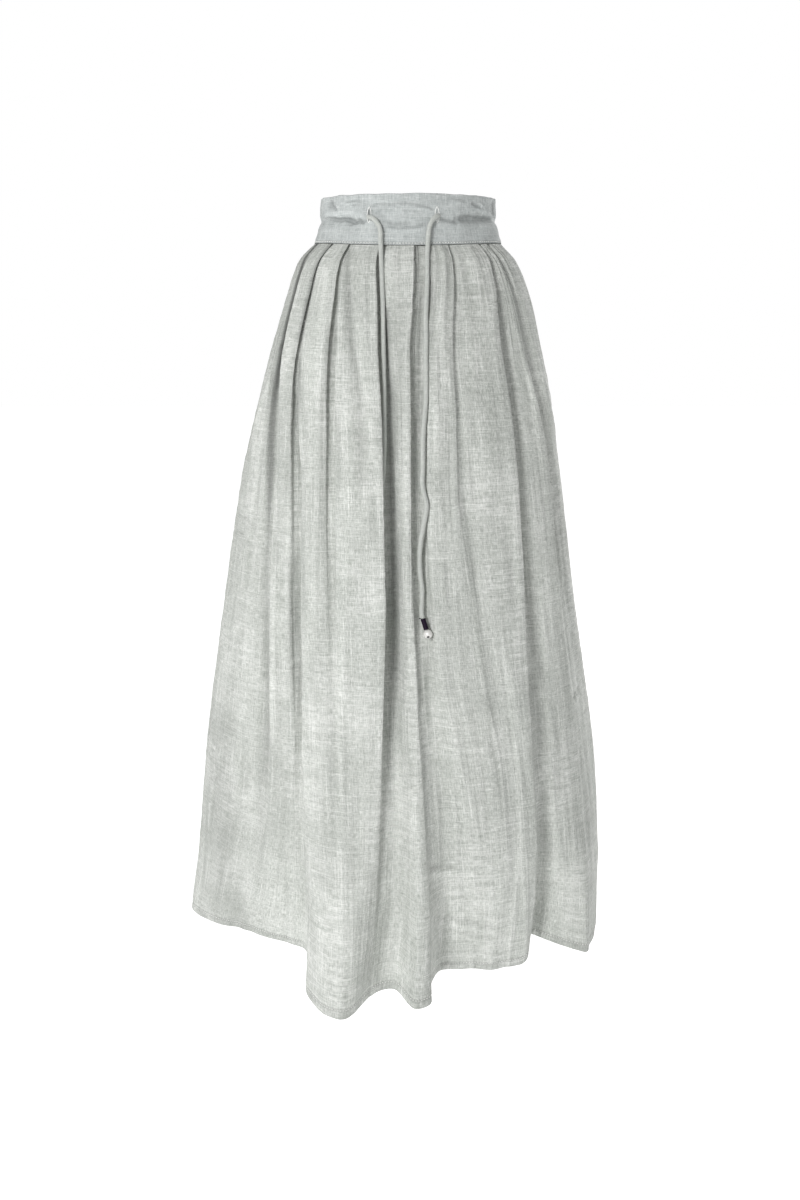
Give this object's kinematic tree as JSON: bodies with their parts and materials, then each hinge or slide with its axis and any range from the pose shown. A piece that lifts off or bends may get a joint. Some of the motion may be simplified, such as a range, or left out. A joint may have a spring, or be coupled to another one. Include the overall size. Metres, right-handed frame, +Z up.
{
  "type": "drawstring skirt",
  "caption": "Long pleated linen skirt with a drawstring waistband, filled out as worn, open at waist and hem, its cord ends hanging down the front.",
  "frame": {"origin": "middle of the waist at the height of the drawstring, where the wearer holds the skirt up", "axes": "+Z up, the skirt's front faces -Y, +X is the wearer's left side"},
  "size_m": [0.6124, 0.5724, 1.007],
  "materials": {
    "pleated_linen": "slubby matt linen, pale grey-green",
    "waistband_linen": "smoother matt linen, slightly bluer",
    "lining_cotton": "thin matt cotton",
    "cord_linen": "rolled linen tube, matt",
    "plum_sleeve": "dark plum, half gloss",
    "pearl_bead": "pearly, glossy"
  },
  "bodies": {
    "root": {"skirt_front": "pleated_linen", "skirt_back": "pleated_linen", "waistband_front": "waistband_linen", "waistband_back": "waistband_linen", "lining_front": "lining_cotton", "lining_back": "lining_cotton", "cord_left": "cord_linen", "cord_right": "cord_linen", "cord_sleeve_left": "plum_sleeve", "cord_sleeve_right": "plum_sleeve", "cord_bead_left": "pearl_bead", "cord_bead_right": "pearl_bead"}
  },
  "joints": []
}
